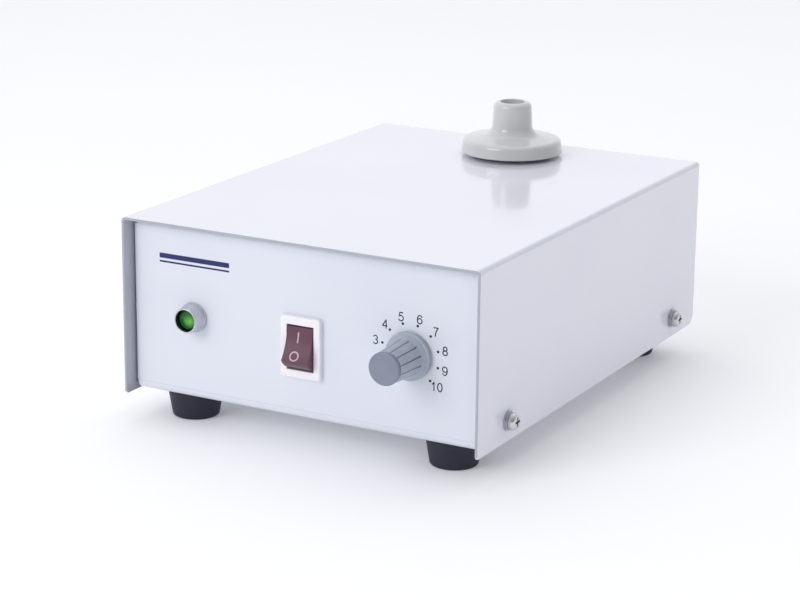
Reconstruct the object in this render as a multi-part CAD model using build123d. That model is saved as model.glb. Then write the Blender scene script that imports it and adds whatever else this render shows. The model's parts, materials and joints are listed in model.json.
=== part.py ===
from build123d import *
import math
import os

# Vortex mixer. Millimetres, +Z up, front panel towards -Y.
# The origin is at the centre of the footprint, on the surface that the feet stand on.

os.makedirs("parts", exist_ok=True)

# Case
cover_width = 134.0
cover_depth = 177.0
cover_height = 61.6
sheet = 1.0
cover_bend = 1.5
edge_round = 0.3
side_drop = 0.8
panel_setback = 4.7
side_gap = 0.3
panel_bend = 3.3
return_bend = 1.8
flange_bend = 1.6
flange_height = 14.0
return_depth = 12.5
top_return = 10.0
corner_notch = 1.2

# Feet
foot_height = 10.0
foot_top_radius = 9.4
foot_bottom_radius = 7.95
foot_seat = foot_height - 4.2
foot_side_inset = 17.2
foot_end_inset = 17.6

# Fasteners: shank radii, the gap in their nuts, washers and the cover screws' places
m3 = 1.5
m4 = 2.0
fit_gap = 0.02
hole_gap = 0.1
washer_height, spring_height = 0.5, 0.8
cover_screw_inset = 21.35
cover_screw_rise = 7.2
clinch_radius = 2.1

# Front panel controls, measured from the cover's lower edge
lamp_x, lamp_rise = -41.6, 29.5
lamp_barrel_radius = 4.0
switch_x, switch_rise = 0.5, 25.7
knob_x, knob_rise = 40.1, 29.2
knob_gap = 0.6
knob_height = 17.0
knob_skirt_radius = 8.0
knob_body_radius, knob_root_radius = 5.4, 6.1
knob_flutes = 12
collet_radius = 3.8
bushing_radius, bushing_reach = 3.5, 5.0
pot_shaft_radius, pot_can_depth = 3.0, 8.0

# Rocker switch
bezel_width, bezel_height, bezel_reach = 15.0, 21.0, 1.8
window_width, window_height = 10.2, 15.4
rocker_width, rocker_end_radius, rocker_pivot_depth = 9.7, 7.4, 2.5
rocker_tip_angle, rocker_hollow_radius = 50.5, 19.5
rocker_travel, lever_travel = 40.0, 22.0
housing_half_width, housing_half_height, housing_depth = 6.4, 9.5, 15.0
terminal_levels = (5.2, 0.0, -5.2)

# Motor, measured from the case's front edge and about its own axis
motor_inset = 152.6
stack_height = 18.0
stack_half_width = 24.0
stack_front, stack_back = -46.0, 17.0
bar_front, bar_back = stack_front, -34.0
bore_radius = 13.2
rotor_radius = 12.7
shaft_radius = 2.5
shaft_clearance = 0.03
bracket_screw_x = 18.6
bracket_foot = 3.0
bush_radius = 4.0
yoke_screw_x, yoke_screw_y = 19.0, -41.0
shading_angles = (225.0, 45.0)
shading_offset, shading_radius = 12.0, 16.4
coil_half_length, coil_flange = 13.6, 9.3
mount_height = 9.0
plate_thickness = 1.5
spacer_height = 9.3

# Crank and head
eccentricity = 2.0
hub_radius, hub_height = 6.0, 5.6
weight_radius, weight_height = 16.0, 3.4
head_gap = 1.5
head_radius = 18.85
head_height = 20.0
cup_radius = 4.5
bearing_outer, bearing_inner, bearing_length = 5.5, 2.5, 4.0
ball_radius, ball_circle, ball_count = 0.8, 4.0, 8
race_gap = 0.04

# Control board
board_x0, board_x1, board_y0, board_y1 = 2.0, 58.0, -55.0, -12.0
board_thickness = 1.6
post_height = 6.0
triac_x, triac_y = 30.0, -22.0
triac_hole_rise = 16.5

# Mains inlet
inlet_x, inlet_rise = -45.5, 30.0
inlet_flange_width, inlet_flange_height, inlet_flange_reach = 31.0, 37.0, 3.0
inlet_body_width, inlet_body_height, inlet_body_depth = 27.0, 31.0, 22.0
inlet_pin_offsets = ((-7.0, -2.0), (7.0, -2.0), (0.0, 2.0))
inlet_tail = 7.0
socket_rise, socket_depth = 5.6, 17.0
drawer_drop, drawer_depth = 11.4, 18.0
drawer_half_width, drawer_half_height = 11.8, 3.9
fuse_inset = 9.0

# Internal wires
wire_radius = 0.9
wire_bend = 3.0
wire_lift = 3.2

# Places worked out from the values above
half_width = cover_width / 2
floor_under = foot_height
floor_top = floor_under + sheet
cover_under = floor_under - side_drop
cover_top = cover_under + cover_height
cover_inside = cover_top - sheet
knob_reach = knob_gap + knob_height - panel_setback
overall_length = cover_depth + knob_reach
front_edge = knob_reach - overall_length / 2
rear_edge = overall_length / 2
front_panel = front_edge + panel_setback
rear_panel = rear_edge - panel_setback
front_inside = front_panel + sheet
chassis_half_width = half_width - sheet - side_gap
chassis_top = cover_inside - side_gap
lamp_z = cover_under + lamp_rise
switch_z = cover_under + switch_rise
knob_z = cover_under + knob_rise
cover_screw_z = cover_under + cover_screw_rise
cover_screw_ys = (front_edge + cover_screw_inset, rear_edge - cover_screw_inset)
foot_places = [
    (x, y)
    for y in (front_edge + foot_end_inset, rear_edge - foot_end_inset)
    for x in (-half_width + foot_side_inset, half_width - foot_side_inset)
]
pivot_y = front_panel - bezel_reach + rocker_pivot_depth
housing_back = front_inside + housing_depth
lever_pivot_y = housing_back - 4.2
motor_y = front_edge + motor_inset
plate_under = floor_top + mount_height
plate_top = plate_under + plate_thickness
stack_under = plate_top + spacer_height + bracket_foot
stack_top = stack_under + stack_height
hub_top = cover_inside - 1.0
hub_under = hub_top - hub_height
weight_under = hub_under + 1.0
weight_top = weight_under + weight_height
weight_middle = (weight_under + weight_top) / 2
head_under = cover_top + head_gap
first_bearing = head_under + 0.7
second_bearing = first_bearing + bearing_length + 0.4
bearings_top = second_bearing + bearing_length
board_under = floor_top + post_height
board_top = board_under + board_thickness
inlet_z = floor_under + inlet_rise
socket_z = inlet_z + socket_rise
drawer_z = inlet_z - drawer_drop
inlet_mouth = rear_panel + inlet_flange_reach
pin_tail_y = rear_panel - inlet_body_depth - inlet_tail
fuse_y = inlet_mouth - fuse_inset
terminal_tag_y = housing_back + 7.7
floor_run_z = floor_top + 2.0
high_run_z = board_top + wire_lift


# Small helpers

def block(x0, x1, y0, y1, z0, z1):
    """A box between two corners."""
    centre = Pos((x0 + x1) / 2, (y0 + y1) / 2, (z0 + z1) / 2)
    return centre * Box(x1 - x0, y1 - y0, z1 - z0)


def rod_z(radius, x, y, z0, z1):
    """An upright cylinder."""
    return Pos(x, y, (z0 + z1) / 2) * Cylinder(radius, z1 - z0)


def rod_y(radius, x, z, y0, y1):
    """A cylinder that lies front to back."""
    return Pos(x, (y0 + y1) / 2, z) * Rot(90, 0, 0) * Cylinder(radius, y1 - y0)


def rod_x(radius, y, z, x0, x1):
    """A cylinder that lies left to right."""
    return Pos((x0 + x1) / 2, y, z) * Rot(0, 90, 0) * Cylinder(radius, x1 - x0)


def outline(*corners):
    """A closed face from (x, y) corners, each with an optional rounding radius."""
    points = [(corner[0], corner[1]) for corner in corners]
    radii = [corner[2] if len(corner) == 3 else 0 for corner in corners]
    if not any(radii):
        return make_face(Polyline(*points, close=True))
    return make_face(FilletPolyline(*points, radius=radii, close=True))


def rounded_rectangle(x0, x1, y0, y1, low_radius, high_radius):
    """A rectangle with one radius at its low-y corners and another at its high-y corners."""
    return outline(
        (x0, y0, low_radius), (x1, y0, low_radius), (x1, y1, high_radius), (x0, y1, high_radius)
    )


def along_x(face, x0, x1):
    """Extrudes a face drawn in (y, z) from x0 to x1."""
    return extrude(Plane(origin=(x0, 0, 0), x_dir=(0, 1, 0), z_dir=(1, 0, 0)) * face, x1 - x0)


def along_y(face, y0, y1):
    """Extrudes a face drawn in (x, z) from y0 to y1."""
    return extrude(Plane(origin=(0, y1, 0), x_dir=(1, 0, 0), z_dir=(0, -1, 0)) * face, y1 - y0)


def along_z(face, z0, z1):
    """Extrudes a face drawn in (x, y) from z0 to z1."""
    return extrude(Pos(0, 0, z0) * face, z1 - z0)


def turned(*corners):
    """A solid of revolution about Z from (radius, z) corners."""
    return revolve(Plane.XZ * outline(*corners), Axis.Z, 360)


def on_front(shape, x, z, y=front_panel):
    """Stands a shape made along +Z on the front panel, pointing to the front."""
    return Pos(x, y, z) * Rot(90, 0, 0) * shape


def on_rear(shape, x, z, y=rear_panel):
    """Stands a shape made along +Z on the rear panel, pointing to the rear."""
    return Pos(x, y, z) * Rot(-90, 0, 0) * shape


def hexagon(across_flats, z0, z1):
    """A hexagonal bar about Z."""
    return along_z(RegularPolygon(across_flats / 2, 6, major_radius=False), z0, z1)


def group(shapes):
    """Keeps alike pieces as separate solids of one node."""
    return Compound([solid for shape in shapes for solid in shape.solids()])


def pan_screw(shank, length, head_radius_mm, head_height_mm):
    """A cross-recess pan screw: shank down from z = 0, head up."""
    head = turned(
        (0, 0), (head_radius_mm, 0, 0.3), (head_radius_mm, head_height_mm, head_height_mm * 0.6),
        (0, head_height_mm),
    )
    slot_long, slot_wide = head_radius_mm * 1.05, head_radius_mm * 0.26
    slot_floor = head_height_mm * 0.4
    cross = (
        block(-slot_long / 2, slot_long / 2, -slot_wide / 2, slot_wide / 2, slot_floor, 9)
        + block(-slot_wide / 2, slot_wide / 2, -slot_long / 2, slot_long / 2, slot_floor, 9)
        + Pos(0, 0, slot_floor + 0.6) * Rot(0, 0, 45) * Box(slot_wide * 1.7, slot_wide * 1.7, 1.2)
    )
    return head - cross + rod_z(shank, 0, 0, -length, 0.1)


def ring(outer, inner, z0, z1):
    """A washer or bush about Z."""
    return rod_z(outer, 0, 0, z0, z1) - rod_z(inner, 0, 0, z0 - 1, z1 + 1)


# Case

def top_cover():
    """One sheet bent to an inverted U, open at the front and the back."""
    def hoop(half, top, bend, under):
        return outline((-half, under), (-half, top, bend), (half, top, bend), (half, under))

    outer = along_y(hoop(half_width, cover_top, cover_bend, cover_under), front_edge, rear_edge)
    inner = along_y(
        hoop(half_width - sheet, cover_inside, cover_bend - sheet, cover_under - 1),
        front_edge - 1, rear_edge + 1,
    )
    cover = outer - inner
    for is_rear, radius in ((True, 4.0), (False, 1.2)):
        corners = [e for e in cover.edges().filter_by(Axis.X) if e.length < 2 * sheet]
        cover = fillet([e for e in corners if (e.center().Y > 0) == is_rear], radius)
    rims = [e for e in cover.edges() if abs(e.center().Y - front_edge) < 0.01]
    cover = fillet([e for e in rims if e.length > 2 * sheet], edge_round)
    cover -= rod_z(10.0, 0, motor_y, cover_top - 5, cover_top + 5)
    for y in cover_screw_ys:
        cover -= rod_x(m3 + 2 * hole_gap, y, cover_screw_z, -half_width - 2, half_width + 2)
    return cover


def bent_strip(low, high, bend_low, bend_high, reach):
    """Side view of a sheet that stands up from the floor, with a bend at its foot and at its top."""
    outer = outline(
        (reach, low), (0, low, bend_low), (0, high, bend_high), (reach, high)
    )
    inner = outline(
        (reach + 1, low + sheet), (sheet, low + sheet, bend_low - sheet),
        (sheet, high - sheet, bend_high - sheet), (reach + 1, high - sheet),
    )
    return outer - inner


def slots(count, pitch, length, width, thickness):
    """A row of round-ended slots in the XY plane, long way along Y."""
    return [
        Pos((i - (count - 1) / 2) * pitch, 0, 0)
        * extrude(Rot(0, 0, 90) * SlotOverall(length, width), thickness / 2, both=True)
        for i in range(count)
    ]


def base_chassis():
    """Floor, front panel, rear panel and their returns, folded from one sheet."""
    panel_half = chassis_half_width - return_bend
    floor_half = chassis_half_width - corner_notch
    return_low, return_high = floor_under + panel_bend, chassis_top - 1.5
    depth = rear_panel - front_panel
    end = bent_strip(floor_under, chassis_top, panel_bend, 2.0, top_return)
    ends = along_x(Pos(front_panel, 0) * end, -floor_half, floor_half)
    ends += mirror(ends, Plane.XZ.offset(-(front_panel + rear_panel) / 2))
    for side in (-1, 1):
        x0, x1 = sorted((side * panel_half, side * (floor_half + 1)))
        ends -= block(x0, x1, front_panel - 1, rear_panel + 1, return_low, chassis_top + 1)
    tray = ends + block(
        -floor_half, floor_half, front_panel + panel_bend, rear_panel - panel_bend,
        floor_under, floor_top,
    )
    # Side returns of both panels, bent back along upright lines
    corner = outline(
        (-return_bend, 0), (0, 0, return_bend), (0, return_depth), (-sheet, return_depth),
        (-sheet, sheet, return_bend - sheet), (-return_bend, sheet),
    )
    corner = Pos(chassis_half_width, front_panel) * corner
    returns = along_z(corner, return_low, return_high)
    returns += mirror(returns, Plane.XZ.offset(-(front_panel + rear_panel) / 2))
    returns += mirror(returns, Plane.YZ)
    tray += returns
    # Low flanges that take the cover screws
    flange = outline(
        (-flange_bend, 0), (0, 0, flange_bend), (0, flange_height), (-sheet, flange_height),
        (-sheet, sheet, flange_bend - sheet), (-flange_bend, sheet),
    )
    flange_half_depth = depth / 2 - return_depth - 0.8
    middle = (front_panel + rear_panel) / 2
    trim = block(
        chassis_half_width - flange_bend, chassis_half_width + 1, middle - flange_half_depth,
        middle + flange_half_depth, floor_under - 1, floor_top + 1,
    )
    flanges = along_y(
        Pos(chassis_half_width, floor_under) * flange,
        middle - flange_half_depth, middle + flange_half_depth,
    )
    tray -= trim + mirror(trim, Plane.YZ)
    tray += flanges + mirror(flanges, Plane.YZ)
    for y in cover_screw_ys:
        for x in (-chassis_half_width, chassis_half_width):
            tray -= rod_x(clinch_radius, y, cover_screw_z, x - 3, x + 3)
    # Front panel: lamp, switch and potentiometer
    cut_front, cut_back = front_panel - 2, front_panel + 3
    opening_x, opening_z = housing_half_width + hole_gap, housing_half_height + hole_gap
    tray -= rod_y(lamp_barrel_radius + hole_gap, lamp_x, lamp_z, cut_front, cut_back)
    tray -= block(
        switch_x - opening_x, switch_x + opening_x, cut_front, cut_back,
        switch_z - opening_z, switch_z + opening_z,
    )
    tray -= rod_y(bushing_radius + hole_gap, knob_x, knob_z, cut_front, cut_back)
    # Rear panel: inlet and air slots
    opening_x, opening_z = inlet_body_width / 2 + 0.2, inlet_body_height / 2 + 0.2
    tray -= block(
        inlet_x - opening_x, inlet_x + opening_x, rear_panel - 3, rear_panel + 2,
        inlet_z - opening_z, inlet_z + opening_z,
    )
    for slot in slots(7, 5.0, 26.0, 2.6, 6.0):
        tray -= on_rear(slot, 44.0, inlet_z)
    # Floor: air slots under the motor, then the screw and post holes
    for slot in slots(7, 6.5, 30.0, 3.0, 6.0):
        tray -= Pos(0, 53.0, floor_top) * slot
    holes = [(m4 + hole_gap, x, y) for x, y in foot_places]
    holes += [(m3 + hole_gap, x, y) for x, y in mount_places()]
    holes += [(2.0, x, y) for x, y in post_places()]
    for radius, x, y in holes:
        tray -= rod_z(radius, x, y, floor_under - 2, floor_top + 2)
    return tray


def foot(x, y):
    """A tapered rubber foot with a sunk screw seat."""
    body = turned(
        (m4 + hole_gap, foot_height), (foot_top_radius, foot_height),
        (foot_top_radius, foot_height - 1.2), (foot_bottom_radius, 0, 1.0), (4.6, 0, 0.4),
        (4.4, foot_seat), (m4 + hole_gap, foot_seat),
    )
    return Pos(x, y, 0) * body


def foot_screws():
    screw = Rot(180, 0, 0) * pan_screw(m4, 9.6, 3.8, 2.4)
    return group(Pos(x, y, foot_seat) * screw for x, y in foot_places)


def foot_nuts():
    nut = hexagon(7.0, 0, 3.2) - rod_z(m4 + fit_gap, 0, 0, -1, 5)
    return group(Pos(x, y, floor_top) * nut for x, y in foot_places)


def at_cover_screws(shape):
    """Puts a shape made along +Z at each cover screw, on the cover's outer faces."""
    for y in cover_screw_ys:
        yield Pos(half_width, y, cover_screw_z) * Rot(0, 90, 0) * shape
        yield Pos(-half_width, y, cover_screw_z) * Rot(0, -90, 0) * shape


def cover_flat_washers():
    return group(at_cover_screws(ring(3.5, m3 + hole_gap, 0, washer_height)))


def cover_spring_washers():
    spring = ring(3.05, m3 + 0.05, washer_height, washer_height + spring_height)
    split = Rot(0, 0, 25) * block(0, 4, -0.25, 0.25, 0, 3)
    return group(at_cover_screws(spring - split))


def cover_screws():
    screw = Pos(0, 0, washer_height + spring_height) * pan_screw(m3, 6.6, 3.0, 2.2)
    return group(at_cover_screws(screw))


def clinch_nuts():
    """Round nuts pressed into the tray's flanges, shank outwards."""
    flange_face = -(sheet + side_gap)
    nut = rod_z(3.0, 0, 0, flange_face - sheet - 2.0, flange_face - sheet)
    nut += rod_z(clinch_radius - fit_gap, 0, 0, flange_face - sheet - 0.1, flange_face)
    nut -= rod_z(m3 + fit_gap, 0, 0, -6, 1)
    return group(at_cover_screws(nut))


# Pilot lamp

def indicator_bezel():
    """A turned bezel with a threaded barrel through the panel."""
    body = turned(
        (3.6, -11.0), (lamp_barrel_radius, -11.0, 0.3), (lamp_barrel_radius, 0), (5.1, 0),
        (5.1, 1.0, 0.3), (4.8, 1.5, 0.3), (4.2, 5.6, 0.25), (3.75, 5.6, 0.15), (3.5, 0.6),
        (3.0, 0.6), (3.0, -1.0), (3.6, -1.0),
    )
    return on_front(body, lamp_x, lamp_z)


def indicator_lens():
    """A green domed lens seated inside the barrel's front."""
    body = turned((0, 0.7), (3.4, 0.7), (3.4, 3.9, 0.5), (0, 4.9))
    bowl = turned((0, 0), (2.2, 0), (2.2, 3.3), (0, 3.7))
    return on_front(body - bowl, lamp_x, lamp_z)


def indicator_lamp():
    """A 5 mm diode behind the lens, with its two leads."""
    body = turned((0, -8.2), (2.9, -8.2), (2.9, -7.2), (2.45, -7.2), (2.45, -1.6, 1.6), (0, -0.2))
    for side in (-1, 1):
        body += block(side * 1.27 - 0.25, side * 1.27 + 0.25, -0.25, 0.25, -16.0, -8.0)
    return on_front(body, lamp_x, lamp_z)


def indicator_nut():
    nut = hexagon(11.0, -sheet - 2.5, -sheet)
    nut -= rod_z(lamp_barrel_radius + fit_gap, 0, 0, -9, 2)
    return on_front(nut, lamp_x, lamp_z)


# Rocker switch

def switch_housing():
    """A snap-in frame: bezel outside the panel, box behind it."""
    frame = along_y(
        rounded_rectangle(
            -bezel_width / 2, bezel_width / 2, -bezel_height / 2, bezel_height / 2, 1.0, 1.0
        ),
        front_panel - bezel_reach, front_panel,
    )
    front_rim = [e for e in frame.edges() if abs(e.center().Y - front_panel + bezel_reach) < 0.01]
    frame = fillet(front_rim, 0.6)
    frame += block(
        -housing_half_width, housing_half_width, front_panel - 0.5, housing_back,
        -housing_half_height, housing_half_height,
    )
    frame -= block(
        -window_width / 2, window_width / 2, front_panel - 5, housing_back - 1.5,
        -window_height / 2, window_height / 2,
    )
    # Snap ears that hold against the back of the panel
    for side in (-1, 1):
        root, tip = side * (housing_half_height - 0.1), side * (housing_half_height + 0.7)
        ear = outline((front_inside, root), (front_inside, tip), (front_inside + 5, root))
        frame += along_x(ear, -3, 3)
    frame -= rod_x(1.05, pivot_y, 0, -6.0, 6.0)
    for z in terminal_levels:
        frame -= block(-2.42, 2.42, housing_back - 2, housing_back + 1, z - 0.42, z + 0.42)
    return Pos(switch_x, 0, switch_z) * frame


def switch_terminals():
    """Three blades: the outer two carry contacts, the middle one carries the lever."""
    blades = []
    for z in terminal_levels:
        front = lever_pivot_y + (0.75 if z else 0.6)
        blade = block(-2.4, 2.4, front, housing_back + 7.5, z - 0.4, z + 0.4)
        if z:
            outer = z + math.copysign(1.2, z)
            low, high = sorted((z, outer))
            blade += block(-2.4, 2.4, front, front + 0.8, low - 0.4, high + 0.4)
        blade -= rod_z(0.9, 0, housing_back + 5, z - 1, z + 1)
        blades.append(blade)
    return Pos(switch_x, 0, switch_z) * group(blades)


def contact_lever():
    """The see-saw strip that the rocker's plunger tips from one contact to the other."""
    strip = outline(
        (0.25, 0), (-0.65, -6.4), (-1.15, -6.4), (-0.25, 0), (-1.15, 6.4), (-0.65, 6.4)
    )
    lever = Rot(lever_travel / 2, 0, 0) * along_x(strip, -2.0, 2.0)
    return Pos(switch_x, lever_pivot_y, switch_z) * lever


def rocker():
    """A hollow front, round ends about the pivot, plunger behind."""
    half_width = rocker_width / 2
    tip = math.radians(rocker_tip_angle)
    tip_y, tip_z = -rocker_end_radius * math.cos(tip), rocker_end_radius * math.sin(tip)
    hollow_y = tip_y - math.sqrt(rocker_hollow_radius ** 2 - tip_z ** 2)
    back = outline(
        (-9.0, 8.5), (2.2, 7.2, 0.8), (3.4, 2.4), (3.4, -2.4), (2.2, -7.2, 0.8), (-9.0, -8.5),
    )
    body = rod_x(rocker_end_radius, 0, 0, -half_width, half_width)
    body &= along_x(back, -half_width, half_width)
    body -= rod_x(rocker_hollow_radius, hollow_y, 0, -half_width - 1, half_width + 1)
    tips = [e for e in body.edges().filter_by(Axis.X) if abs(e.center().Y - tip_y) < 0.05]
    body = fillet(tips, 0.35)
    plunger = outline((3.0, -1.2), (10.2, -0.9, 0.8), (10.2, 0.9, 0.8), (3.0, 1.2))
    body += along_x(plunger, -2.0, 2.0)
    body += rod_x(1.0, 0, 0, -5.8, 5.8)
    return Pos(switch_x, pivot_y, switch_z) * Rot(-rocker_travel / 2, 0, 0) * body


# Speed control

def pot_housing():
    """A 16 mm potentiometer: can behind the panel, bushing through it."""
    bore = pot_shaft_radius + 0.04
    can = turned(
        (bore, 0), (bore, -3.0), (6.8, -3.0), (6.8, -6.4), (0, -6.4), (0, -pot_can_depth),
        (8.0, -pot_can_depth, 0.5), (8.0, 0, 0.5),
    )
    bushing = ring(bushing_radius, bore, -0.5, sheet + bushing_reach)
    return on_front(can + bushing, knob_x, knob_z, front_inside)


def pot_terminals():
    """Three solder tags below the can."""
    tags = [block(x - 0.6, x + 0.6, -15.5, -8.02, -3.4, -3.0) for x in (-5.0, 0.0, 5.0)]
    return on_front(group(tags), knob_x, knob_z, front_inside)


def pot_nut():
    nut = hexagon(9.0, 0.5, 2.3) - rod_z(bushing_radius + fit_gap, 0, 0, -1, 4)
    washer = ring(5.2, bushing_radius + fit_gap, 0, 0.5)
    return on_front(nut + washer, knob_x, knob_z)


def pot_shaft():
    """The shaft, with the wiper disc at its inner end."""
    shaft = rod_z(pot_shaft_radius, 0, 0, -4.0, sheet + 12.6)
    wiper = rod_z(6.3, 0, 0, -5.9, -3.5)
    flat = block(-4, 4, 2.4, 4, sheet + 6.6, sheet + 20)
    return on_front(shaft + wiper - flat, knob_x, knob_z, front_inside)


def knob():
    """A skirted knob with straight flutes, hollow behind for the nut and bushing."""
    back = knob_gap
    body_end = knob_gap + knob_height - 1.9
    skirt, root, radius = knob_skirt_radius, knob_root_radius, knob_body_radius
    body = turned(
        (0, back + 5.2), (3.9, back + 5.2), (3.9, back + 2.3), (5.5, back + 2.3),
        (5.5, back), (skirt, back, 0.3), (skirt, back + 1.5, 0.4), (skirt - 0.7, back + 1.6),
        (skirt - 0.9, back + 1.9), (root + 0.3, back + 3.0, 0.3), (root, back + 3.8),
        (radius, body_end), (0, body_end),
    )
    # V grooves that follow the body's taper, a little deeper at the skirt
    groove_back, back_depth, front_depth = back + 3.2, 0.6, 0.42
    lean = math.degrees(math.atan2(root - back_depth - radius + front_depth, body_end - groove_back))
    groove = along_z(outline((0, 0), (2.0, 0.95), (2.0, -0.95)), 0, knob_height)
    groove = Pos(root - back_depth, 0, groove_back) * Rot(0, -lean, 0) * groove
    for i in range(knob_flutes):
        body -= Rot(0, 0, 15 + i * 360 / knob_flutes) * groove
    body -= rod_z(collet_radius + fit_gap, 0, 0, -1, body_end + 1)
    return on_front(body, knob_x, knob_z)


def knob_collet():
    """The brass sleeve that grips the shaft, with its clamp screw at the front."""
    back, front = knob_gap + 5.6, knob_gap + knob_height - 2.1
    sleeve = ring(collet_radius, pot_shaft_radius + fit_gap, back, front - 1.6)
    cap_screw = rod_z(collet_radius, 0, 0, front - 1.6, front)
    cap_screw -= block(-5, 5, -0.4, 0.4, front - 0.8, front + 1)
    slit = block(-0.3, 0.3, 0, 5, back - 1, front - 3)
    return on_front(sleeve + cap_screw - slit, knob_x, knob_z)


def knob_cap():
    """The round cap at the knob's front, on a neck that leaves a fine groove behind its edge."""
    top = knob_gap + knob_height
    neck, edge = knob_body_radius - 0.8, knob_body_radius + 0.1
    body = turned(
        (0, top - 1.85), (neck, top - 1.85), (neck, top - 1.4), (edge, top - 1.4),
        (edge, top - 0.35, 0.5), (0, top),
    )
    return on_front(body, knob_x, knob_z)


# Motor, in plan about its own axis

def at_motor(shape):
    return Pos(0, motor_y, 0) * shape


def stator_laminations():
    """The C-frame: a yoke bar at the front, two legs, and poles round the rotor."""
    stack = along_z(
        outline(
            (-stack_half_width, stack_front, 1.5), (stack_half_width, stack_front, 1.5),
            (stack_half_width, stack_back, 4.0), (1.5, stack_back), (1.5, bore_radius + 1.2),
            (-1.5, bore_radius + 1.2), (-1.5, stack_back), (-stack_half_width, stack_back, 4.0),
        ),
        stack_under, stack_top,
    )
    window = outline(
        (-14, -34), (14, -34), (14, -23.5, 1.0), (2.5, -23.5), (2.5, -bore_radius - 1.2),
        (-2.5, -bore_radius - 1.2), (-2.5, -23.5), (-14, -23.5, 1.0),
    )
    stack -= along_z(window, stack_under - 1, stack_top + 1)
    stack -= rod_z(bore_radius, 0, 0, stack_under - 1, stack_top + 1)
    for x, y in stack_screws():
        stack -= rod_z(m3 + hole_gap, x, y, stack_under - 1, stack_top + 1)
    for angle in shading_angles:
        for turn in (-shading_offset, shading_offset):
            slot = Box(2.6, 1.8, stack_height + 2)
            middle = Pos(shading_radius, 0, (stack_under + stack_top) / 2)
            stack -= Rot(0, 0, angle + turn) * middle * slot
    return at_motor(stack)


def stack_screws():
    return [
        (-bracket_screw_x, 0), (bracket_screw_x, 0),
        (-yoke_screw_x, yoke_screw_y), (yoke_screw_x, yoke_screw_y),
    ]


def shading_rings():
    """Two copper loops, each round one tip of a pole."""
    half_span = shading_radius * math.sin(math.radians(shading_offset))
    centre = shading_radius * math.cos(math.radians(shading_offset))
    middle = (stack_under + stack_top) / 2
    loop = Box(1.6, 2 * half_span + 1.0, stack_height + 3.0)
    loop -= Box(3, 2 * half_span - 1.0, stack_height + 0.4)
    return group(
        at_motor(Rot(0, 0, angle) * Pos(centre, 0, middle) * loop) for angle in shading_angles
    )


def ring_bar(reach_in, reach_out, x0, x1, corner):
    """A square tube round the yoke bar, between two distances from it."""
    outer = rounded_rectangle(
        bar_front - reach_out, bar_back + reach_out,
        stack_under - reach_out, stack_top + reach_out, corner, corner,
    )
    inner = block(
        x0 - 1, x1 + 1, bar_front - reach_in, bar_back + reach_in,
        stack_under - reach_in, stack_top + reach_in,
    )
    return along_x(outer, x0, x1) - inner


def coil_bobbin():
    tube = ring_bar(0.3, 1.3, -coil_half_length, coil_half_length, 0.5)
    for side in (-1, 1):
        x0, x1 = sorted((side * coil_half_length, side * (coil_half_length - 1.2)))
        tube += ring_bar(0.3, coil_flange, x0, x1, 1.5)
    return at_motor(tube)


def motor_coil():
    length = coil_half_length - 1.3
    return at_motor(ring_bar(1.35, coil_flange - 1.2, -length, length, 4.0))


def bearing_bracket():
    """An arched bracket over the rotor, made for the top face; its foot is at z = 0."""
    arch = outline(
        (-22.5, 0), (-14.0, 0), (-11.6, 3.8), (11.6, 3.8), (14.0, 0), (22.5, 0),
        (22.5, bracket_foot), (15.3, bracket_foot), (12.6, 7.0, 1.5), (-12.6, 7.0, 1.5),
        (-15.3, bracket_foot), (-22.5, bracket_foot),
    )
    body = along_y(arch, -6, 6) + rod_z(6.2, 0, 0, 3.8, 10.6)
    body -= rod_z(bush_radius + fit_gap, 0, 0, 4.6, 12)
    body -= rod_z(3.0, 0, 0, 3, 5)
    for x in (-bracket_screw_x, bracket_screw_x):
        body -= rod_z(m3 + hole_gap, x, 0, -1, 5)
    return body


def upper_bearing_bracket():
    return at_motor(Pos(0, 0, stack_top) * bearing_bracket())


def lower_bearing_bracket():
    cap = rod_z(6.2, 0, 0, 10.4, 11.2)
    return at_motor(Pos(0, 0, stack_under) * Rot(180, 0, 0) * (bearing_bracket() + cap))


def bearing_bushes():
    bush = ring(bush_radius, shaft_radius + shaft_clearance, 4.6, 10.2)
    upper = Pos(0, 0, stack_top) * bush
    lower = Pos(0, 0, stack_under) * Rot(180, 0, 0) * bush
    return group([at_motor(upper), at_motor(lower)])


def motor_screws():
    """Four long screws down through the stack and the plate, with their nuts."""
    pieces = []
    for x, y in stack_screws():
        head_level = stack_top + (bracket_foot if y == 0 else 0)
        length = head_level - plate_under + 3.4
        pieces.append(Pos(x, y, head_level) * pan_screw(m3, length, 2.75, 2.1))
        nut = hexagon(5.5, plate_under - 2.4, plate_under)
        nut -= rod_z(m3 + fit_gap, 0, 0, plate_under - 3, plate_under + 1)
        pieces.append(Pos(x, y, 0) * nut)
    return group(at_motor(piece) for piece in pieces)


def motor_spacers():
    tubes = []
    for x, y in stack_screws():
        top = stack_under - (bracket_foot if y == 0 else 0)
        tubes.append(at_motor(Pos(x, y, 0) * ring(3.0, m3 + hole_gap, plate_top, top)))
    return group(tubes)


def mount_places():
    return [(x, motor_y + y) for x in (-26.0, 26.0) for y in (-46.0, 12.0)]


def motor_plate():
    plate = along_z(
        rounded_rectangle(-31.5, 31.5, motor_y - 51.5, motor_y + 17.5, 3.0, 3.0),
        plate_under, plate_top,
    )
    under, over = plate_under - 1, plate_top + 1
    plate -= rod_z(8.0, 0, motor_y, under, over)
    plate -= block(-12, 12, motor_y - 46, motor_y - 20, under, over)
    for x, y in stack_screws():
        plate -= rod_z(m3 + hole_gap, x, motor_y + y, under, over)
    for x, y in mount_places():
        plate -= rod_z(m3 + hole_gap, x, y, under, over)
    return plate


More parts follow.
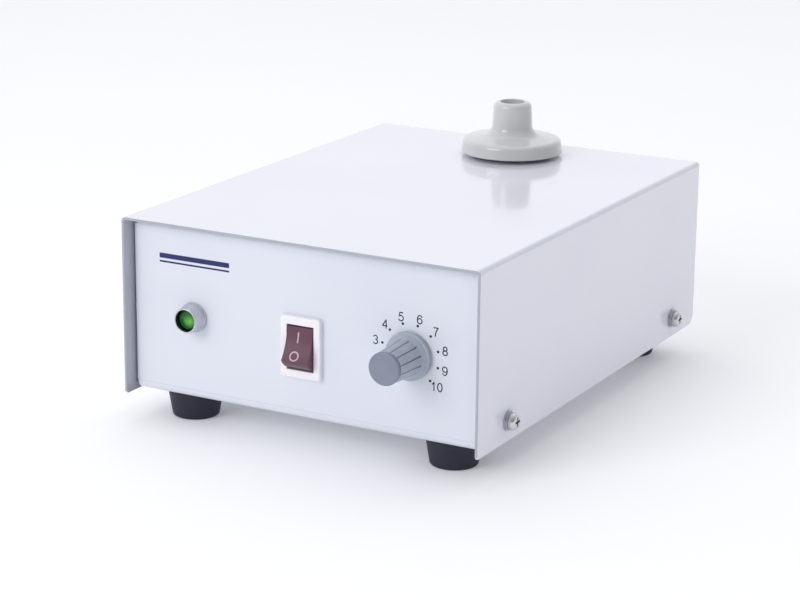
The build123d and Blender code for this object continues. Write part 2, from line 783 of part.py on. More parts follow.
def vibration_mounts():
    """Rubber buffers between the floor and the motor plate."""
    buffer = turned(
        (0, 0), (5.0, 0, 0.5), (4.4, mount_height / 2, 6.0), (5.0, mount_height, 0.5),
        (0, mount_height),
    )
    for level in (0, mount_height):
        buffer -= rod_z(m3 + fit_gap, 0, 0, level - 3.7, level + 3.7)
    return group(Pos(x, y, floor_top) * buffer for x, y in mount_places())


def vibration_mount_screws():
    screw = pan_screw(m3, 4.6, 2.75, 2.0)
    pieces = []
    for x, y in mount_places():
        pieces.append(Pos(x, y, plate_top) * screw)
        pieces.append(Pos(x, y, floor_under) * Rot(180, 0, 0) * screw)
    return group(pieces)


# Rotor and crank

def rotor_core():
    bore, ring_bore = shaft_radius + 0.01, 8.5
    core = turned(
        (bore, stack_under - 0.5), (ring_bore, stack_under - 0.5), (ring_bore, stack_under - 2.2),
        (rotor_radius - 0.6, stack_under - 2.2, 0.4), (rotor_radius, stack_under - 0.5),
        (rotor_radius, stack_top + 0.5), (rotor_radius - 0.6, stack_top + 2.2, 0.4),
        (ring_bore, stack_top + 2.2), (ring_bore, stack_top + 0.5), (bore, stack_top + 0.5),
    )
    return at_motor(core)


def motor_shaft():
    return at_motor(rod_z(shaft_radius, 0, 0, stack_under - 9.9, hub_top - 1.5))


def eccentric_hub():
    """A hub on the motor shaft with the crank pin standing off its centre."""
    pin_top = bearings_top + 1.0
    hub = rod_z(hub_radius, 0, 0, hub_under, hub_top)
    hub += rod_z(3.2, eccentricity, 0, hub_top - 1, first_bearing)
    hub += rod_z(bearing_inner, eccentricity, 0, hub_top - 1, pin_top)
    hub -= rod_z(shaft_radius + 0.01, 0, 0, hub_under - 1, hub_top - 1.4)
    hub -= rod_x(m3 + fit_gap, 0, weight_middle, 0, 8)
    groove = ring(3.2, bearing_inner - 0.3, pin_top - 0.9, pin_top - 0.2)
    return at_motor(hub - Pos(eccentricity, 0, 0) * groove)


def pin_retaining_ring():
    level = bearings_top + 0.12
    clip = ring(3.3, bearing_inner - 0.28, level, level + 0.6)
    clip -= block(-1.2, 1.2, 0, 5, level - 1, level + 2)
    return at_motor(Pos(eccentricity, 0, 0) * clip)


def counterweight():
    """A heavy half disc opposite the crank pin."""
    under, over = weight_under - 1, weight_top + 1
    disc = rod_z(weight_radius, 0, 0, weight_under, weight_top)
    disc -= block(2.0, 20, -20, 20, under, over)
    disc += rod_z(8.0, 0, 0, weight_under, weight_top)
    disc -= rod_z(hub_radius + 0.01, 0, 0, under, over)
    disc -= rod_x(m3 + hole_gap, 0, weight_middle, 0, 12)
    return at_motor(disc)


def hub_set_screw():
    screw = rod_x(m3, 0, weight_middle, shaft_radius + 0.05, 8.6)
    return at_motor(screw - block(8.0, 9, -2, 2, weight_middle - 0.3, weight_middle + 0.3))


def at_bearings(shape):
    """Puts a shape made from z = 0 up at both bearings on the crank pin."""
    return group(
        Pos(eccentricity, motor_y, level) * shape for level in (first_bearing, second_bearing)
    )


def raceway():
    """The ring-shaped track that the balls run in."""
    return Pos(0, 0, bearing_length / 2) * Torus(ball_circle, ball_radius + race_gap)


def bearing_inner_rings():
    return at_bearings(ring(3.3, bearing_inner + 0.01, 0, bearing_length) - raceway())


def bearing_outer_rings():
    shell = ring(bearing_outer, 4.7, 0, bearing_length) - raceway()
    for level in (0.2, bearing_length - 0.5):
        shell += ring(4.8, 3.45, level, level + 0.3)
    return at_bearings(shell)


def bearing_balls():
    ball = Pos(ball_circle, 0, bearing_length / 2) * Sphere(ball_radius)
    return at_bearings(group(Rot(0, 0, i * 360 / ball_count) * ball for i in range(ball_count)))


# Mixing head, in plan about the crank pin

def core_solid():
    """The outside of the head's plastic core."""
    low, top = first_bearing - 0.2, bearings_top + 2.3
    return turned(
        (0, low), (14.0, low), (14.0, low + 1.6), (6.5, low + 2.6), (6.4, top, 0.5), (0, top),
    )


def at_pin(shape):
    return Pos(eccentricity, motor_y, 0) * shape


def head_core():
    core = core_solid()
    core -= rod_z(bearing_outer + 0.01, 0, 0, head_under - 1, bearings_top)
    core -= rod_z(3.9, 0, 0, head_under - 1, bearings_top + 1.4)
    return at_pin(core)


def mixing_head():
    """A rubber disc with a post and a cup in its top."""
    low, high = head_under, cover_top + head_height
    body = turned(
        (0, low), (head_radius, low, 0.3), (head_radius - 0.9, cover_top + 6.3, 1.8),
        (9.6, cover_top + 7.6, 3.4), (7.45, cover_top + 10.0, 3.4), (6.95, high, 2.0),
        (cup_radius, high, 0.35), (cup_radius, high - 5.0, 2.0), (0, high - 6.4),
    )
    body -= core_solid()
    body -= rod_z(14.0, 0, 0, low - 1, first_bearing - 0.2)
    return at_pin(body)


# Control board

def post_places():
    inset = 4.0
    xs, ys = (board_x0 + inset, board_x1 - inset), (board_y0 + inset, board_y1 - inset)
    return [(x, y) for x in xs for y in ys]


def control_board():
    board = block(board_x0, board_x1, board_y0, board_y1, board_under, board_top)
    for x, y in post_places():
        board -= rod_z(1.7, x, y, board_under - 1, board_top + 1)
    return board


def board_posts():
    """Nylon posts that snap into the floor and the board."""
    post = rod_z(3.0, 0, 0, floor_top, board_under)
    post += rod_z(1.6, 0, 0, board_under - 1, board_top + 2.0)
    post += rod_z(1.9, 0, 0, floor_under - 1.5, floor_top + 1)
    return group(Pos(x, y, 0) * post for x, y in post_places())


def triac():
    """A three-legged package bolted upright to its heatsink."""
    x, y, low = triac_x, triac_y, board_top + 4
    body = block(x - 5, x + 5, y - 4.4, y - 1.3, low, low + 9)
    tab = block(x - 5, x + 5, y - 1.3, y, low, low + 15.5)
    tab -= rod_y(1.8, x, board_top + triac_hole_rise, y - 3, y + 1)
    legs = [
        block(x + dx - 0.4, x + dx + 0.4, y - 2.6, y - 2.1, board_top, low + 0.2)
        for dx in (-2.54, 0, 2.54)
    ]
    return body + tab + legs


def heatsink():
    """A finned block behind the triac, standing on the board."""
    width, height, fins, fin_half = 34.0, 22.0, 7, 0.6
    left, y, top = triac_x - width / 2, triac_y, board_top + height
    sink = block(left, left + width, y, y + 2.5, board_top, top)
    for i in range(fins):
        fin_x = left + fin_half + i * (width - 2 * fin_half) / (fins - 1)
        sink += block(fin_x - fin_half, fin_x + fin_half, y + 2.4, y + 8.0, board_top, top)
    sink -= rod_y(m3 + fit_gap, triac_x, board_top + triac_hole_rise, y - 1, y + 2.6)
    return sink


def film_capacitors():
    """Two box capacitors that quiet the triac's switching."""
    boxes = []
    for x, y, length, width, height in ((12.0, -44.0, 13.0, 6.0, 11.0), (34.0, -46.0, 18.0, 7.0, 13.0)):
        case = Pos(x, y, board_top + height / 2) * Box(length, width, height)
        boxes.append(fillet(case.edges().filter_by(Axis.Z), 0.6))
    return group(boxes)


def terminal_block():
    """A four-way screw terminal at the board's left edge."""
    x0, y0, y1 = board_x0 + 0.6, -40.0, -20.0
    body = block(x0, x0 + 8, y0, y1, board_top, board_top + 10)
    for i in range(4):
        y = y0 + 2.5 + i * 5
        body -= block(x0 - 1, x0 + 4, y - 1.5, y + 1.5, board_top + 1.5, board_top + 5)
        body -= rod_z(1.8, x0 + 4, y, board_top + 8.2, board_top + 12)
    return body


# Mains inlet

def inlet_housing():
    """A three-pin inlet with a fuse drawer under its socket."""
    x, z = inlet_x, inlet_z
    flange = along_y(
        rounded_rectangle(
            x - inlet_flange_width / 2, x + inlet_flange_width / 2,
            z - inlet_flange_height / 2, z + inlet_flange_height / 2, 2.0, 2.0,
        ),
        rear_panel, inlet_mouth,
    )
    rim = [e for e in flange.edges() if abs(e.center().Y - inlet_mouth) < 0.01]
    body = fillet(rim, 0.8)
    body += block(
        x - inlet_body_width / 2, x + inlet_body_width / 2,
        rear_panel - inlet_body_depth, rear_panel + 0.5,
        z - inlet_body_height / 2, z + inlet_body_height / 2,
    )
    socket = outline(
        (x - 12.0, socket_z - 8.0, 1.0), (x + 12.0, socket_z - 8.0, 1.0), (x + 12.0, socket_z + 3.4),
        (x + 7.4, socket_z + 8.0), (x - 7.4, socket_z + 8.0), (x - 12.0, socket_z + 3.4),
    )
    body -= along_y(socket, inlet_mouth - socket_depth, inlet_mouth + 2)
    half_x, half_z = drawer_half_width + 0.3, drawer_half_height + 0.3
    body -= block(
        x - half_x, x + half_x, inlet_mouth - drawer_depth, inlet_mouth + 2,
        drawer_z - half_z, drawer_z + half_z,
    )
    for dx, dz in inlet_pin_offsets:
        body -= block(
            x + dx - 1.02, x + dx + 1.02,
            rear_panel - inlet_body_depth - 1, inlet_mouth - socket_depth + 1,
            socket_z + dz - 2.02, socket_z + dz + 2.02,
        )
    return body


def inlet_pins():
    pins = []
    for dx, dz in inlet_pin_offsets:
        pin = block(
            inlet_x + dx - 1.0, inlet_x + dx + 1.0, pin_tail_y, inlet_mouth - 5.0,
            socket_z + dz - 2.0, socket_z + dz + 2.0,
        )
        tip = [e for e in pin.edges() if abs(e.center().Y - inlet_mouth + 5.0) < 0.01]
        pins.append(chamfer(tip, 0.6))
    return group(pins)


def fuse_drawer():
    """A small tray with a pull lip that carries the fuse crosswise."""
    x, z = inlet_x, drawer_z
    face = block(
        x - drawer_half_width, x + drawer_half_width, inlet_mouth - 1.5, inlet_mouth + 0.8,
        z - drawer_half_height, z + drawer_half_height,
    )
    face += block(x - 4, x + 4, inlet_mouth + 0.7, inlet_mouth + 1.6, z + 1.4, z + 2.8)
    tray = block(x - 11.4, x + 11.4, inlet_mouth - 15.5, inlet_mouth - 1.4, z - 3.5, z + 2.9)
    tray -= block(x - 10.4, x + 10.4, fuse_y - 3.0, fuse_y + 3.0, z - 2.7, z + 5)
    return face + tray


def fuse():
    """A 5 x 20 mm glass cartridge with two metal end caps."""
    glass = rod_x(2.35, fuse_y, drawer_z, inlet_x - 10.0, inlet_x + 10.0)
    for side in (-1, 1):
        x0, x1 = sorted((inlet_x + side * 10.0, inlet_x + side * 5.0))
        glass += rod_x(2.6, fuse_y, drawer_z, x0, x1)
    return glass


# Internal wires

def wire(*points):
    """A round wire along straight runs joined by equal bends."""
    path = FilletPolyline(*points, radius=wire_bend)
    start = path @ 0
    direction = path % 0
    return sweep(Plane(origin=start, z_dir=direction) * Circle(wire_radius), path)


def live_wires():
    """Inlet to switch, then switch to board."""
    pin_x, pin_z, run_y = inlet_x - 7.0, socket_z - 2.0, -40.0
    out_x, out_y, out_z = switch_x - 4, -35.0, switch_z + terminal_levels[0]
    return group([
        wire(
            (pin_x, pin_tail_y - 0.2, pin_z), (pin_x, pin_tail_y - 8, pin_z),
            (pin_x, pin_tail_y - 8, floor_run_z), (pin_x, run_y, floor_run_z),
            (switch_x, run_y, floor_run_z), (switch_x, run_y, switch_z),
            (switch_x, terminal_tag_y, switch_z),
        ),
        wire(
            (switch_x, terminal_tag_y, out_z), (switch_x, -44.5, out_z), (out_x, out_y, out_z),
            (out_x, out_y, high_run_z), (board_x0 + 0.4, out_y, high_run_z),
        ),
    ])


def neutral_wires():
    """Inlet to board."""
    pin_x, pin_z, run_x, run_y = inlet_x + 7.0, socket_z - 2.0, -7.0, -22.5
    return wire(
        (pin_x, pin_tail_y - 0.2, pin_z), (pin_x, pin_tail_y - 12, pin_z),
        (pin_x, pin_tail_y - 12, floor_run_z), (pin_x, run_y, floor_run_z),
        (run_x, run_y, floor_run_z), (run_x, run_y, high_run_z), (board_x0 + 0.4, run_y, high_run_z),
    )


def earth_wire():
    """Inlet to the floor."""
    pin_z, low_z = socket_z + 2.0, floor_top + wire_radius
    return wire(
        (inlet_x, pin_tail_y - 0.2, pin_z), (inlet_x, pin_tail_y - 5, pin_z),
        (inlet_x, pin_tail_y - 5, low_z), (inlet_x, pin_tail_y - 16, low_z),
    )


nodes = {
    "top_cover": top_cover(),
    "base_chassis": base_chassis(),
    "rubber_feet": group(foot(x, y) for x, y in foot_places),
    "foot_screws": foot_screws(),
    "foot_nuts": foot_nuts(),
    "cover_screws": cover_screws(),
    "cover_spring_washers": cover_spring_washers(),
    "cover_flat_washers": cover_flat_washers(),
    "clinch_nuts": clinch_nuts(),
    "indicator_bezel": indicator_bezel(),
    "indicator_lens": indicator_lens(),
    "indicator_lamp": indicator_lamp(),
    "indicator_nut": indicator_nut(),
    "switch_housing": switch_housing(),
    "switch_terminals": switch_terminals(),
    "contact_lever": contact_lever(),
    "rocker": rocker(),
    "pot_housing": pot_housing(),
    "pot_terminals": pot_terminals(),
    "pot_nut": pot_nut(),
    "pot_shaft": pot_shaft(),
    "knob": knob(),
    "knob_collet": knob_collet(),
    "knob_cap": knob_cap(),
    "stator_laminations": stator_laminations(),
    "shading_rings": shading_rings(),
    "coil_bobbin": coil_bobbin(),
    "motor_coil": motor_coil(),
    "upper_bearing_bracket": upper_bearing_bracket(),
    "lower_bearing_bracket": lower_bearing_bracket(),
    "bearing_bushes": bearing_bushes(),
    "motor_screws": motor_screws(),
    "motor_spacers": motor_spacers(),
    "motor_plate": motor_plate(),
    "vibration_mounts": vibration_mounts(),
    "vibration_mount_screws": vibration_mount_screws(),
    "rotor_core": rotor_core(),
    "motor_shaft": motor_shaft(),
    "eccentric_hub": eccentric_hub(),
    "pin_retaining_ring": pin_retaining_ring(),
    "counterweight": counterweight(),
    "hub_set_screw": hub_set_screw(),
    "bearing_inner_rings": bearing_inner_rings(),
    "bearing_outer_rings": bearing_outer_rings(),
    "bearing_balls": bearing_balls(),
    "head_core": head_core(),
    "mixing_head": mixing_head(),
    "control_board": control_board(),
    "board_posts": board_posts(),
    "triac": triac(),
    "heatsink": heatsink(),
    "film_capacitors": film_capacitors(),
    "terminal_block": terminal_block(),
    "inlet_housing": inlet_housing(),
    "inlet_pins": inlet_pins(),
    "fuse_drawer": fuse_drawer(),
    "fuse": fuse(),
    "live_wires": live_wires(),
    "neutral_wires": neutral_wires(),
    "earth_wire": earth_wire(),
}

for name, shape in nodes.items():
    export_step(shape, f"parts/{name}.step")
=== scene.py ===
import json
import math

import bmesh
import bpy
from mathutils import Matrix, Quaternion, Vector


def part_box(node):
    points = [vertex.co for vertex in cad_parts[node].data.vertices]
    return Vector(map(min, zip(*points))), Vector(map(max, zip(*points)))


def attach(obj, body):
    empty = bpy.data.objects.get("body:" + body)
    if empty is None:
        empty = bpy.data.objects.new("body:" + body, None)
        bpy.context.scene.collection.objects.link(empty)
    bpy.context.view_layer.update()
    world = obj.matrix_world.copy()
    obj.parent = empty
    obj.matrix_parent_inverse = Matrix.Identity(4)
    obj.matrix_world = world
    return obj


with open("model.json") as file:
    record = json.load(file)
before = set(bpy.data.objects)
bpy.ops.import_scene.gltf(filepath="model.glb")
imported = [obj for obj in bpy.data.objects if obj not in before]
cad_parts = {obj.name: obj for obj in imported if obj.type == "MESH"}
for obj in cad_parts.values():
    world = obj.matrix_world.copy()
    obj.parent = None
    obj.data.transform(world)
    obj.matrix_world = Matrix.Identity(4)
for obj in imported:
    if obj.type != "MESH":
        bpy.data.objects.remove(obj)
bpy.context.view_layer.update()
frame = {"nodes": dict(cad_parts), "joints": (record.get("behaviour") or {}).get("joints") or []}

MM = 0.001
cover_low, cover_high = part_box("top_cover")


# Camera, at the photograph's viewing angle

CAMERA_TARGET = Vector((-9.57 * MM, 6.50 * MM, cover_low.z + 19.4 * MM))
CAMERA_DISTANCE = 873.1 * MM
AZIMUTH, ELEVATION, ROLL = math.radians(28.68), math.radians(16.03), math.radians(0.58)
SENSOR_WIDTH, LENS = 36.0, 110.3


def place_camera():
    back = Vector((
        math.sin(AZIMUTH) * math.cos(ELEVATION),
        -math.cos(AZIMUTH) * math.cos(ELEVATION),
        math.sin(ELEVATION),
    ))
    data = bpy.data.cameras.new("camera")
    data.sensor_width = SENSOR_WIDTH
    data.lens = LENS
    data.dof.use_dof = False
    camera = bpy.data.objects.new("camera", data)
    bpy.context.scene.collection.objects.link(camera)
    camera.location = CAMERA_TARGET + back * CAMERA_DISTANCE
    camera.rotation_mode = "QUATERNION"
    camera.rotation_quaternion = (-back).to_track_quat("-Z", "Y") @ Quaternion((0, 0, 1), ROLL)
    bpy.context.scene.camera = camera


place_camera()


# Materials

INNER_FACE = 0.65 * MM      # this far in from the cover's outside, only its inner faces are left
BEND_SIZE = 1.4 * MM


def shade(red, green, blue):
    """A display colour, 0 to 255 a channel, as linear light."""
    linear = []
    for value in (red, green, blue):
        part = value / 255
        linear.append(part / 12.92 if part <= 0.04045 else ((part + 0.055) / 1.055) ** 2.4)
    return (*linear, 1.0)


def add(tree, kind, inputs, **settings):
    """Adds a shader node; an input is a value or the socket that feeds it."""
    made = tree.nodes.new(kind)
    for name, value in settings.items():
        setattr(made, name, value)
    for name, value in inputs.items():
        if isinstance(value, bpy.types.NodeSocket):
            tree.links.new(value, made.inputs[name])
        else:
            made.inputs[name].default_value = value
    return made


def math_node(tree, operation, *values):
    return add(tree, "ShaderNodeMath", dict(enumerate(values)), operation=operation).outputs[0]


def coordinate(tree, where, axis):
    return add(tree, "ShaderNodeSeparateXYZ", {"Vector": where}).outputs[axis]


def at_level(axis, level, half):
    """A zone within `half` of a level along an axis."""
    return lambda tree, where: math_node(tree, "COMPARE", coordinate(tree, where, axis), level, half)


def inside_case(tree, where):
    """The inner faces of the bent cover, painted a darker grey as their shade."""
    across = math_node(tree, "ABSOLUTE", coordinate(tree, where, "X"))
    narrow = math_node(tree, "LESS_THAN", across, cover_high.x - INNER_FACE)
    low = math_node(tree, "LESS_THAN", coordinate(tree, where, "Z"), cover_high.z - INNER_FACE)
    return math_node(tree, "MULTIPLY", narrow, low)


def on_bends(tree, where):
    """The two long bends of the cover, painted darker as shade to stand in for the dark reflection their
    rounding catches.
    """
    across = math_node(tree, "ABSOLUTE", coordinate(tree, where, "X"))
    wide = math_node(tree, "GREATER_THAN", across, cover_high.x - BEND_SIZE)
    high = math_node(tree, "GREATER_THAN", coordinate(tree, where, "Z"), cover_high.z - BEND_SIZE)
    return math_node(tree, "MULTIPLY", wide, high)


def around_axis(centre, radius, soft):
    """A zone within a radius of a line that runs front to back, with a soft rim."""
    def mask(tree, where):
        offset = add(tree, "ShaderNodeVectorMath", {0: where, 1: centre}, operation="SUBTRACT")
        flat = add(
            tree, "ShaderNodeVectorMath", {0: offset.outputs[0], 1: (1.0, 0.0, 1.0)}, operation="MULTIPLY",
        )
        away = add(tree, "ShaderNodeVectorMath", {0: flat.outputs[0]}, operation="LENGTH")
        return add(
            tree, "ShaderNodeMapRange",
            {
                "Value": away.outputs["Value"], "From Min": radius - soft, "From Max": radius + soft,
                "To Min": 1.0, "To Max": 0.0,
            },
        ).outputs["Result"]
    return mask


def finish(
    name, tone, other, rough, metallic=0.0, patch=15.0, grain=0.4, depth=0.002,
    stretch=(1.0, 1.0, 1.0), spread=0.15, bands=None, zones=(), glow=None, **sockets
):
    """Colour drifts between two tones over `patch` mm; gloss and relief vary over `grain` mm.

    `bands` adds grooves as (axis, pitch in mm, depth in mm). `zones` are (mask, tone) pairs laid
    over the colour, and `glow` is a (mask, tone) pair that gives off light.
    """
    material = bpy.data.materials.new("look_" + name)
    material.use_nodes = True
    tree = material.node_tree
    shader = tree.nodes["Principled BSDF"]
    where = add(tree, "ShaderNodeTexCoord", {}).outputs["Object"]
    drift = add(tree, "ShaderNodeTexNoise", {"Vector": where, "Scale": 1 / (patch * MM), "Detail": 3.0})
    spreading = add(
        tree, "ShaderNodeMapRange",
        {"Value": drift.outputs["Fac"], "From Min": 0.3, "From Max": 0.7, "To Min": 0.0, "To Max": 1.0},
    )
    colour = add(
        tree, "ShaderNodeMix",
        {0: spreading.outputs["Result"], 6: shade(*tone), 7: shade(*other)}, data_type="RGBA",
    )
    colour = colour.outputs[2]
    for mask, laid in zones:
        colour = add(
            tree, "ShaderNodeMix", {0: mask(tree, where), 6: colour, 7: shade(*laid)}, data_type="RGBA",
        ).outputs[2]
    tree.links.new(colour, shader.inputs["Base Color"])
    if glow:
        light = add(
            tree, "ShaderNodeMix", {0: glow[0](tree, where), 6: shade(0, 0, 0), 7: shade(*glow[1])},
            data_type="RGBA",
        )
        tree.links.new(light.outputs[2], shader.inputs["Emission Color"])
    along = add(tree, "ShaderNodeMapping", {"Vector": where, "Scale": stretch}).outputs["Vector"]
    fine = add(tree, "ShaderNodeTexNoise", {"Vector": along, "Scale": 1 / (grain * MM), "Detail": 2.0})
    gloss = add(
        tree, "ShaderNodeMapRange",
        {
            "Value": fine.outputs["Fac"], "From Min": 0.25, "From Max": 0.75,
            "To Min": rough * (1 - spread), "To Max": rough * (1 + spread),
        },
    )
    tree.links.new(gloss.outputs["Result"], shader.inputs["Roughness"])
    relief = add(tree, "ShaderNodeBump", {"Height": fine.outputs["Fac"], "Distance": depth * MM})
    if bands:
        axis, pitch, groove = bands
        wave = add(
            tree, "ShaderNodeTexWave", {"Vector": where, "Scale": 2 * math.pi / (20 * pitch * MM)},
            wave_type="BANDS", bands_direction=axis,
        )
        relief = add(
            tree, "ShaderNodeBump",
            {"Height": wave.outputs["Fac"], "Distance": groove * MM, "Normal": relief.outputs["Normal"]},
        )
    tree.links.new(relief.outputs["Normal"], shader.inputs["Normal"])
    shader.inputs["Metallic"].default_value = metallic
    for socket, value in sockets.items():
        shader.inputs[socket.replace("_", " ")].default_value = value
    return material


lamp_low, lamp_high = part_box("indicator_bezel")
lamp_centre = (lamp_low + lamp_high) / 2
LAMP_BORE = 3.76 * MM
lit_spot = lamp_centre + Vector((1.2, 0, -0.2)) * MM
chassis_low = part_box("base_chassis")[0]
CREASE_RISE = 3.2 * MM      # the fold between the front panel and the tray's floor, marked by a thin line of painted shade
EDGE = 0.12 * MM
# painted shade: the grey laid on the cover sheet's cut edges
cut_edge_shade = (172, 174, 186)

looks = {
    "white_paint": finish(
        "white_paint", (236, 237, 247), (232, 233, 245), 0.14, patch=60, grain=1.6,
        depth=0.0012, spread=0.08,
        zones=(
            # painted shade: a darker band along the cover's two long bends, standing in for their dark
            # reflection
            (on_bends, (224, 226, 238)),
            # painted shade: the cover's inner faces are painted a darker grey, where shade falls inside
            # the case
            (inside_case, (186, 188, 198)),
            # painted shade: the sheet's cut edges at front, back and bottom are painted a darker grey
            (at_level("Y", cover_low.y, EDGE), cut_edge_shade),
            (at_level("Y", cover_high.y, EDGE), cut_edge_shade),
            (at_level("Z", cover_low.z, EDGE), cut_edge_shade),
        ),
        Coat_Weight=0.5, Coat_Roughness=0.04,
    ),
    "panel_paint": finish(
        "panel_paint", (228, 231, 241), (224, 227, 238), 0.3, patch=60, grain=1.6,
        depth=0.0005, spread=0.06,
        # painted shade: a thin darker line along the fold at the front panel's foot
        zones=((at_level("Z", chassis_low.z + CREASE_RISE, EDGE), (212, 215, 228)),),
        Coat_Weight=0.15, Coat_Roughness=0.2,
    ),
    "black_rubber": finish(
        "black_rubber", (25, 27, 46), (31, 33, 53), 0.6, patch=6, grain=0.25, depth=0.012,
    ),
    "grey_rubber": finish(
        "grey_rubber", (208, 208, 208), (203, 203, 204), 0.24, patch=10, grain=0.6, depth=0.002,
        Coat_Weight=0.6, Coat_Roughness=0.1,
    ),
    "zinc": finish(
        "zinc", (200, 202, 207), (186, 189, 195), 0.32, metallic=1.0, patch=1.5, grain=0.15, depth=0.003,
    ),
    "nickel": finish(
        "nickel", (216, 216, 216), (206, 206, 207), 0.24, metallic=1.0, patch=2, grain=0.12, depth=0.002,
    ),
    "chrome": finish(
        "chrome", (206, 206, 213), (198, 198, 206), 0.3, metallic=1.0, patch=3, grain=0.1, depth=0.001,
        # painted shade and reflection: the bezel's bore is painted a dark green-grey, standing in for its
        # shade and the green lens it reflects
        zones=((around_axis(lamp_centre, LAMP_BORE, 0.04 * MM), (104, 122, 108)),),
    ),
    "green_lens": finish(
        "green_lens", (28, 100, 42), (34, 110, 45), 0.14, patch=3, grain=0.5, depth=0.004,
        zones=((around_axis(lit_spot, 1.4 * MM, 1.2 * MM), (84, 176, 56)),),
        glow=(around_axis(lit_spot, 1.0 * MM, 1.2 * MM), (110, 200, 50)),
        Transmission_Weight=0.2, Emission_Strength=0.3,
    ),
    "clear_plastic": finish(
        "clear_plastic", (190, 240, 190), (170, 230, 170), 0.12, patch=2, grain=0.3, depth=0.002,
        Transmission_Weight=0.7, Emission_Color=shade(150, 255, 70), Emission_Strength=0.8,
    ),
    "white_plastic": finish(
        "white_plastic", (248, 246, 250), (243, 241, 247), 0.3, patch=8, grain=0.3, depth=0.003,
    ),
    "red_plastic": finish(
        "red_plastic", (104, 68, 84), (97, 62, 77), 0.4, patch=6, grain=0.3, depth=0.003,
        Specular_IOR_Level=0.35,
    ),
    "grey_plastic": finish(
        "grey_plastic", (174, 183, 196), (167, 176, 190), 0.42, patch=5, grain=0.22, depth=0.005,
    ),
    "grey_cap": finish(
        "grey_cap", (133, 142, 160), (128, 137, 154), 0.42, patch=5, grain=0.25, depth=0.004,
    ),
    "black_plastic": finish(
        "black_plastic", (30, 31, 34), (24, 25, 28), 0.42, patch=5, grain=0.25, depth=0.008,
    ),
    "green_plastic": finish(
        "green_plastic", (52, 128, 74), (44, 116, 66), 0.4, patch=5, grain=0.3, depth=0.004,
    ),
    "capacitor_case": finish(
        "capacitor_case", (214, 178, 58), (204, 166, 50), 0.4, patch=5, grain=0.3, depth=0.004,
    ),
    "circuit_board": finish(
        "circuit_board", (38, 92, 58), (32, 84, 52), 0.35, patch=4, grain=0.5, depth=0.004,
        bands=("X", 1.27, 0.003),
    ),
    "lamination_steel": finish(
        "lamination_steel", (122, 122, 126), (96, 97, 102), 0.42, metallic=1.0, patch=6, grain=0.2,
        depth=0.004, bands=("Z", 0.5, 0.05),
    ),
    "copper": finish(
        "copper", (190, 112, 62), (168, 92, 48), 0.28, metallic=1.0, patch=4, grain=0.2, depth=0.004,
        bands=("X", 0.5, 0.08),
    ),
    "bronze": finish(
        "bronze", (156, 118, 64), (140, 104, 56), 0.5, metallic=1.0, patch=2, grain=0.12, depth=0.006,
    ),
    "brass": finish(
        "brass", (206, 178, 104), (190, 160, 88), 0.26, metallic=1.0, patch=4, grain=0.15, depth=0.003,
    ),
    "cast_alloy": finish(
        "cast_alloy", (150, 152, 156), (134, 136, 141), 0.5, metallic=1.0, patch=3, grain=0.3, depth=0.02,
    ),
    "black_aluminium": finish(
        "black_aluminium", (34, 35, 38), (28, 29, 32), 0.38, metallic=0.6, patch=6, grain=0.3,
        depth=0.004, stretch=(1.0, 1.0, 0.06),
    ),
    "bearing_steel": finish(
        "bearing_steel", (200, 202, 206), (188, 190, 195), 0.14, metallic=1.0, patch=2, grain=0.2,
        depth=0.001,
    ),
    "fuse_glass": finish(
        "fuse_glass", (226, 232, 230), (216, 224, 222), 0.08, patch=3, grain=0.4, depth=0.001,
        Transmission_Weight=0.8,
    ),
    "brown_wire": finish(
        "brown_wire", (104, 66, 44), (94, 58, 38), 0.38, patch=4, grain=0.3, depth=0.004,
    ),
    "blue_wire": finish(
        "blue_wire", (44, 84, 160), (38, 76, 148), 0.38, patch=4, grain=0.3, depth=0.004,
    ),
    "earth_wire": finish(
        "earth_wire", (120, 168, 52), (206, 196, 58), 0.38, patch=1.6, grain=0.3, depth=0.004,
    ),
}
dark_ink = finish("dark_ink", (30, 34, 52), (26, 30, 47), 0.5, patch=2, grain=0.15, depth=0.002)
navy_ink = finish("navy_ink", (16, 34, 104), (12, 28, 92), 0.45, patch=4, grain=0.15, depth=0.002)
pale_ink = finish("pale_ink", (214, 178, 196), (206, 168, 188), 0.5, patch=2, grain=0.15, depth=0.002)

for thing in frame["nodes"].values():
    for slot in thing.material_slots:
        slot.material = looks[slot.material.name]


# Printing on the panel and on the rocker

INK_THICKNESS = 0.03 * MM


def as_piece(curves, name, material, body, bend=None):
    """Turns curves into one mesh piece that rides on a body; `bend` moves its flat points."""
    mesh = bpy.data.meshes.new(name)
    joined = bmesh.new()
    bpy.context.view_layer.update()
    for curve in curves:
        flat = bpy.data.meshes.new_from_object(curve)
        flat.transform(curve.matrix_world)
        joined.from_mesh(flat)
        bpy.data.meshes.remove(flat)
        bpy.data.objects.remove(curve)
    bmesh.ops.remove_doubles(joined, verts=joined.verts, dist=0.0005 * MM)
    if bend:
        for vertex in joined.verts:
            vertex.co = bend(vertex.co.copy())
    joined.to_mesh(mesh)
    joined.free()
    mesh.materials.append(material)
    piece = bpy.data.objects.new(name, mesh)
    bpy.context.scene.collection.objects.link(piece)
    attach(piece, body)


def flat_curve(loops, matrix):
    """A filled outline; a loop inside another makes a hole."""
    data = bpy.data.curves.new("outline", "CURVE")
    data.dimensions = "2D"
    data.fill_mode = "BOTH"
    data.extrude = INK_THICKNESS / 2
    for loop in loops:
        spline = data.splines.new("POLY")
        spline.points.add(len(loop) - 1)
        for point, (x, y) in zip(spline.points, loop):
            point.co = (x * MM, y * MM, 0, 1)
        spline.use_cyclic_u = True
    curve = bpy.data.objects.new("outline", data)
    bpy.context.scene.collection.objects.link(curve)
    curve.matrix_world = matrix
    return curve


def circle(radius, count=48):
    turns = [2 * math.pi * i / count for i in range(count)]
    return [(radius * math.cos(turn), radius * math.sin(turn)) for turn in turns]


